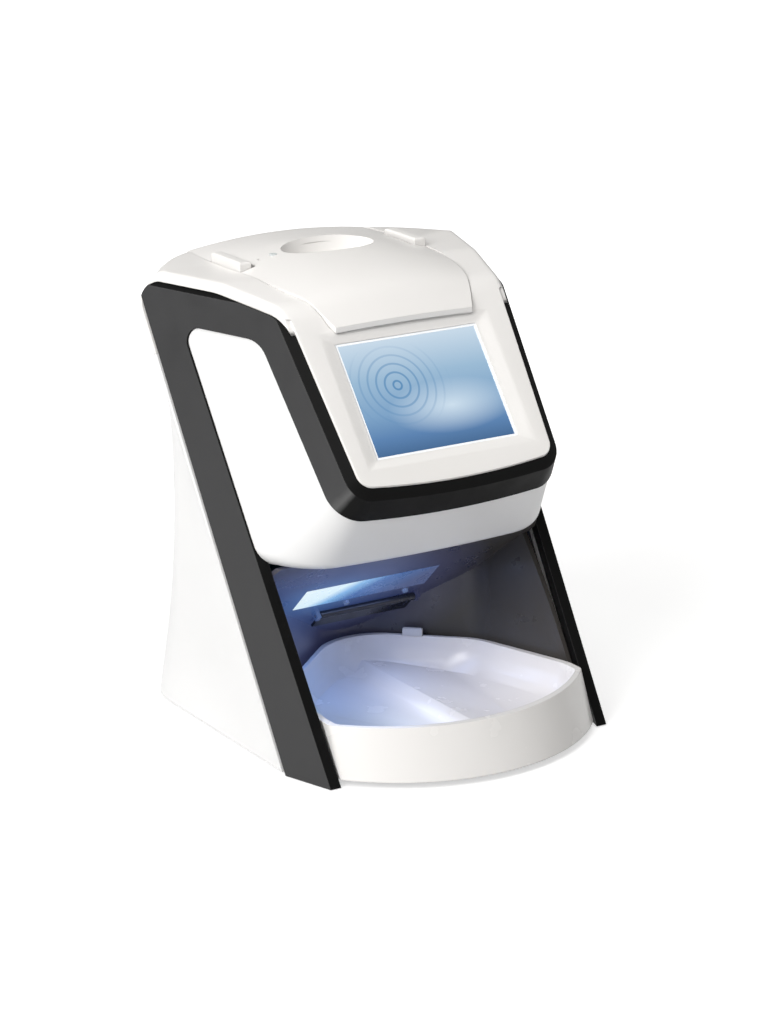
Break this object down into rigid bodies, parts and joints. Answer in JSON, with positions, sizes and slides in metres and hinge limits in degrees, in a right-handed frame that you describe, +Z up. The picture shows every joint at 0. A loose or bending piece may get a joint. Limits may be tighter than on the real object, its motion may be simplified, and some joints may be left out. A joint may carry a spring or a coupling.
{
  "type": "dental phosphor plate scanner",
  "caption": "Benchtop reader for phosphor imaging plates: slanted touch display on splayed dark legs over a lit bay with a pull-out receiving tray.",
  "frame": {"origin": "middle of the footprint on the table, under the rubber feet", "axes": "+Z up, the display and the tray face -Y, +X to the right seen from behind the viewer who faces the display"},
  "size_m": [0.2094, 0.245, 0.2574],
  "materials": {
    "white_shell": "satin gloss",
    "white_tab": "satin",
    "white_rim": "gloss",
    "dark_satin": "fine satin",
    "bay_black": "gloss",
    "grey_base": "matte",
    "inner_grey": "matte",
    "pale_grey": "satin",
    "panel_grey": "matte",
    "foot_rubber": "matte",
    "tray_translucent": "satin, slightly translucent",
    "light_bar": "diffuse",
    "lamp_lens": "clear",
    "screen_glass": "gloss",
    "optic_glass": "polished",
    "filter_blue": "polished",
    "board_green": "satin",
    "screw_steel": "satin",
    "spring_steel": "satin",
    "ground_steel": "ground",
    "bearing_steel": "ground",
    "chassis_steel": "zinc plated",
    "cast_alloy": "satin",
    "lcd_metal": "satin",
    "motor_black": "satin",
    "bush_bronze": "satin",
    "nut_plastic": "satin",
    "mirror_alloy": "polished",
    "sensor_black": "matte",
    "socket_black": "satin",
    "socket_metal": "satin"
  },
  "bodies": {
    "casing": {"hoop": "dark_satin", "chin_shell": "white_shell", "top_housing": "white_shell", "rear_shell": "white_shell", "base_plate": "grey_base", "casing_screws": "screw_steel", "rubber_feet": "foot_rubber", "bay_lining": "bay_black", "light_bar": "light_bar", "strip_board": "board_green", "bay_lamps": "lamp_lens", "flap_pin": "screw_steel", "exit_chute": "inner_grey", "display_rim": "white_rim", "screen_glass": "screen_glass", "lcd_module": "lcd_metal", "display_board": "board_green", "chassis_plate": "chassis_steel", "rod_blocks": "cast_alloy", "guide_rods": "ground_steel", "screw_bearings": "bearing_steel", "motor_plate": "chassis_steel", "stepper_motor": "motor_black", "optical_bench": "chassis_steel", "spinner_motor": "motor_black", "laser_module": "bush_bronze", "laser_clamp": "cast_alloy", "scan_lens": "optic_glass", "optics_feet": "cast_alloy", "light_guide": "optic_glass", "sensor_filter": "filter_blue", "light_sensor": "sensor_black", "sensor_clamp": "cast_alloy", "erase_board": "board_green", "erase_lamps": "lamp_lens", "main_board": "board_green", "board_standoffs": "bush_bronze", "socket_panel": "panel_grey", "power_inlet": "socket_black", "network_socket": "socket_metal", "rocker_frame": "socket_black"},
    "cover": {"top_cover": "white_shell", "ready_lamp": "lamp_lens", "shutter_pin": "screw_steel", "tab_springs": "spring_steel"},
    "left_tab": {"left_release_tab": "white_tab"},
    "right_tab": {"right_release_tab": "white_tab"},
    "shutter": {"slot_shutter": "inner_grey"},
    "tray": {"receiving_tray": "tray_translucent", "tray_pull": "pale_grey"},
    "flap": {"exit_flap": "bay_black"},
    "carriage": {"plate_carriage": "cast_alloy", "carriage_bushes": "bush_bronze", "screw_nut": "nut_plastic", "plate_holder": "inner_grey"},
    "screw": {"lead_screw": "ground_steel", "motor_coupling": "cast_alloy", "motor_shaft": "ground_steel"},
    "mirror": {"spinning_mirror": "mirror_alloy"},
    "rocker": {"power_rocker": "socket_black"}
  },
  "joints": [
    {"name": "cover_lift", "type": "slide", "parent": "casing", "child": "cover", "axis": [0, 0, 1], "range_m": [0, 0.06]},
    {"name": "left_tab_press", "type": "slide", "parent": "cover", "child": "left_tab", "axis": [1, 0, 0], "range_m": [0, 0.0025], "stiffness_N_per_m": 400, "springref_m": -0.001, "deforming": ["tab_springs"]},
    {"name": "right_tab_press", "type": "slide", "parent": "cover", "child": "right_tab", "axis": [-1, 0, 0], "range_m": [0, 0.0025], "stiffness_N_per_m": 400, "springref_m": -0.001, "deforming": ["tab_springs"]},
    {"name": "shutter_swing", "type": "hinge", "parent": "cover", "child": "shutter", "pos_m": [0, 0.06154, 0.23208], "axis": [1, 0, 0], "range_deg": [0, 60], "stiffness_Nm_per_rad": 0.004, "springref_deg": -17.19},
    {"name": "tray_slide", "type": "slide", "parent": "casing", "child": "tray", "axis": [0, -1, 0], "range_m": [0, 0.125]},
    {"name": "flap_swing", "type": "hinge", "parent": "casing", "child": "flap", "pos_m": [0, 0.01988, 0.05581], "axis": [1, 0, 0], "range_deg": [-50, 0]},
    {"name": "carriage_travel", "type": "slide", "parent": "casing", "child": "carriage", "axis": [0, 0, -1], "range_m": [0, 0.06]},
    {"name": "screw_spin", "type": "hinge", "parent": "casing", "child": "screw", "pos_m": [0.058, 0.06674, 0.15], "axis": [0, 0, 1], "range_deg": [-2880, 10]},
    {"name": "mirror_spin", "type": "hinge", "parent": "casing", "child": "mirror", "pos_m": [0, -0.00926, 0.1535], "axis": [0, 0, 1], "continuous": true},
    {"name": "rocker_tilt", "type": "hinge", "parent": "casing", "child": "rocker", "pos_m": [0.027, 0.09624, 0.03], "axis": [1, 0, 0], "range_deg": [0, 12]}
  ],
  "couplings": [
    {"joint": "screw_spin", "follows": "carriage_travel", "rad_per_m": -785.4}
  ]
}
